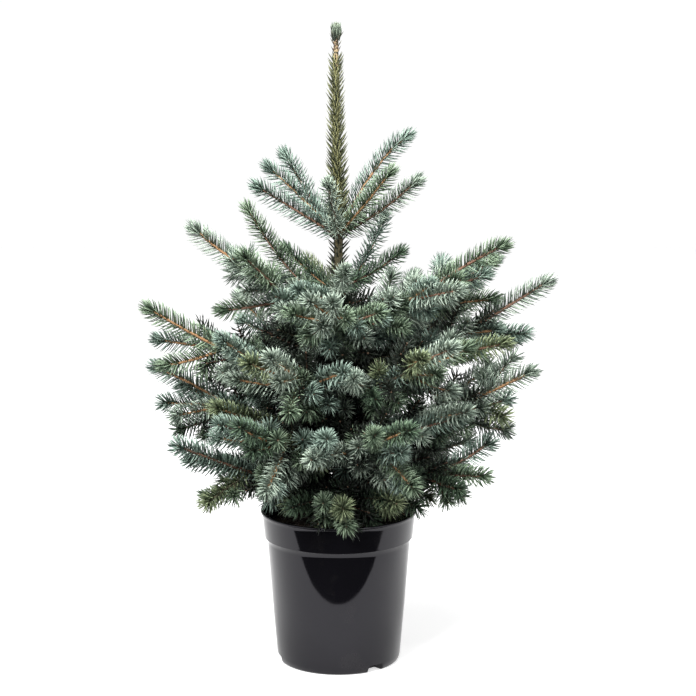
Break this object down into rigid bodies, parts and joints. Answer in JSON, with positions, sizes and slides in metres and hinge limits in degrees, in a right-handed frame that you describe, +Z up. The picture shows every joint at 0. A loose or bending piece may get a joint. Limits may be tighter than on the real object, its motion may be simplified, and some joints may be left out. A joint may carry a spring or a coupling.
{
  "type": "potted blue spruce",
  "caption": "Young blue spruce with a bare pointed leader and whorls of boughs, standing in a round nursery pot.",
  "frame": {"origin": "centre of the pot's flat underside", "axes": "+Z up along the trunk, -Y towards the front, +X to the right seen from the front"},
  "size_m": [0.6162, 0.5442, 0.977],
  "materials": {
    "pot": "glossy moulded black plastic",
    "soil": "dark crumbly compost",
    "bark": "rough brown bark, orange brown on young shoots",
    "needles": "waxy silvery blue-green needles",
    "leader_needles": "olive needles lying along the leader"
  },
  "bodies": {
    "root": {"pot": "pot", "soil": "soil", "trunk": "bark", "upper_bough_left": "bark", "upper_bough_right": "bark", "upper_bough_right_rear": "bark", "upper_bough_front": "bark", "upper_bough_rear": "bark", "middle_bough_left": "bark", "middle_bough_right": "bark", "middle_bough_front_right": "bark", "middle_bough_front_left": "bark", "middle_bough_rear_right": "bark", "middle_bough_rear_left": "bark", "lower_bough_left": "bark", "lower_bough_right": "bark", "lower_bough_front_right": "bark", "lower_bough_front_left": "bark", "lower_bough_rear": "bark", "skirt_bough_left": "bark", "skirt_bough_right": "bark", "skirt_bough_front": "bark", "skirt_bough_rear_right": "bark", "skirt_bough_rear_left": "bark", "leader_foliage": "leader_needles", "top_shoot_1": "needles", "top_shoot_2": "needles", "top_shoot_3": "needles", "top_shoot_4": "needles", "top_shoot_5": "needles", "top_shoot_6": "needles", "top_shoot_7": "needles", "top_shoot_8": "needles", "slender_shoot_1": "needles", "slender_shoot_2": "needles", "slender_shoot_3": "needles", "slender_shoot_4": "needles", "slender_shoot_5": "needles", "slender_shoot_6": "needles", "upper_foliage_left": "needles", "upper_foliage_right": "needles", "upper_foliage_right_rear": "needles", "upper_foliage_front": "needles", "upper_foliage_rear": "needles", "middle_foliage_left": "needles", "middle_foliage_right": "needles", "middle_foliage_front_right": "needles", "middle_foliage_front_left": "needles", "middle_foliage_rear_right": "needles", "middle_foliage_rear_left": "needles", "lower_foliage_left": "needles", "lower_foliage_right": "needles", "lower_foliage_front_right": "needles", "lower_foliage_front_left": "needles", "lower_foliage_rear": "needles", "skirt_foliage_left": "needles", "skirt_foliage_right": "needles", "skirt_foliage_front": "needles", "skirt_foliage_rear_right": "needles", "skirt_foliage_rear_left": "needles"}
  },
  "joints": []
}
